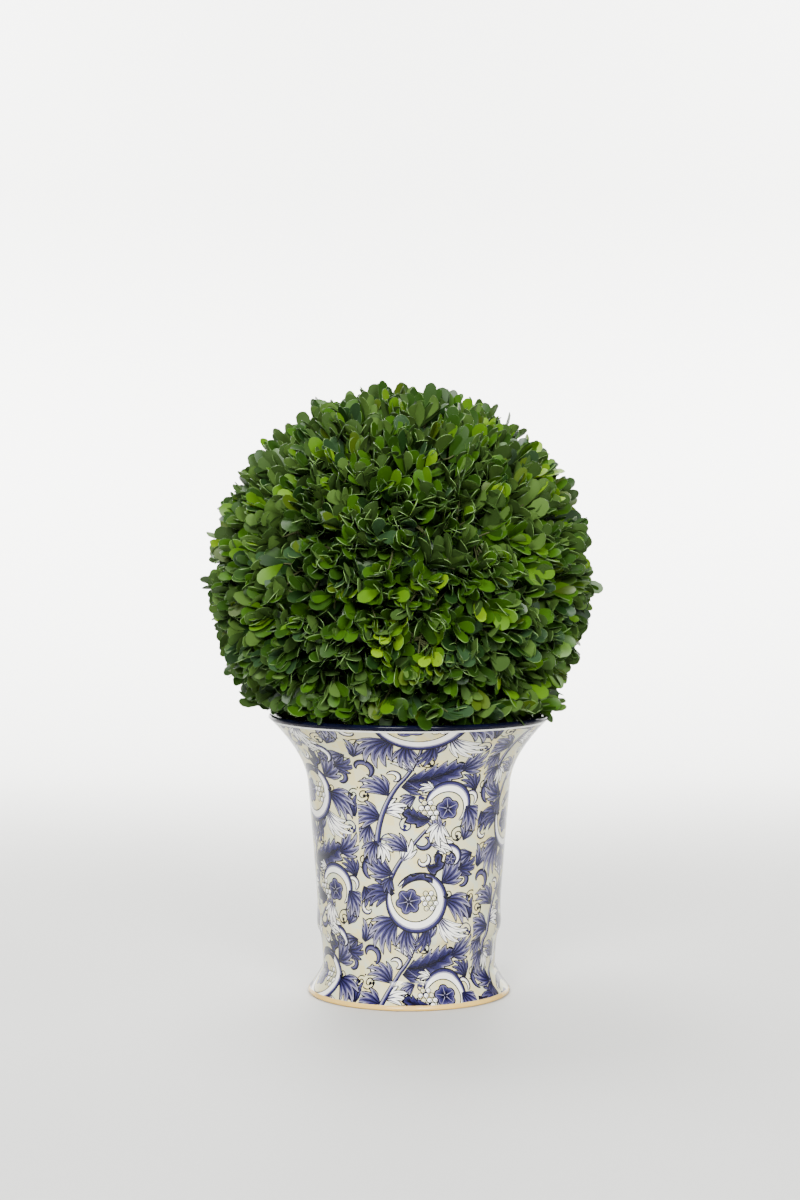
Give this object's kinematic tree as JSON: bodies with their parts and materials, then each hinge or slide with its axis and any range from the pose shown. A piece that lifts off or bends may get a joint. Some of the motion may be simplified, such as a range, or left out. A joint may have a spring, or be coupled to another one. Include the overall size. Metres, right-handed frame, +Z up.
{
  "type": "box topiary ball in a glazed vase",
  "caption": "Ball of clipped box leaves standing in the mouth of a footed trumpet vase with a blue scroll print, for indoors.",
  "frame": {"origin": "centre of the vase's flat underside, on the vase's own axis", "axes": "+Z up along the vase's axis, +X to the right and +Y away as the front is seen"},
  "size_m": [0.2521, 0.2527, 0.3907],
  "materials": {
    "vase_glaze": "gloss",
    "filling": "matte",
    "bark": "matte",
    "leaves": "satin"
  },
  "bodies": {
    "root": {"vase": "vase_glaze", "filling": "filling", "stem": "bark", "foliage_ball": "leaves"}
  },
  "joints": []
}
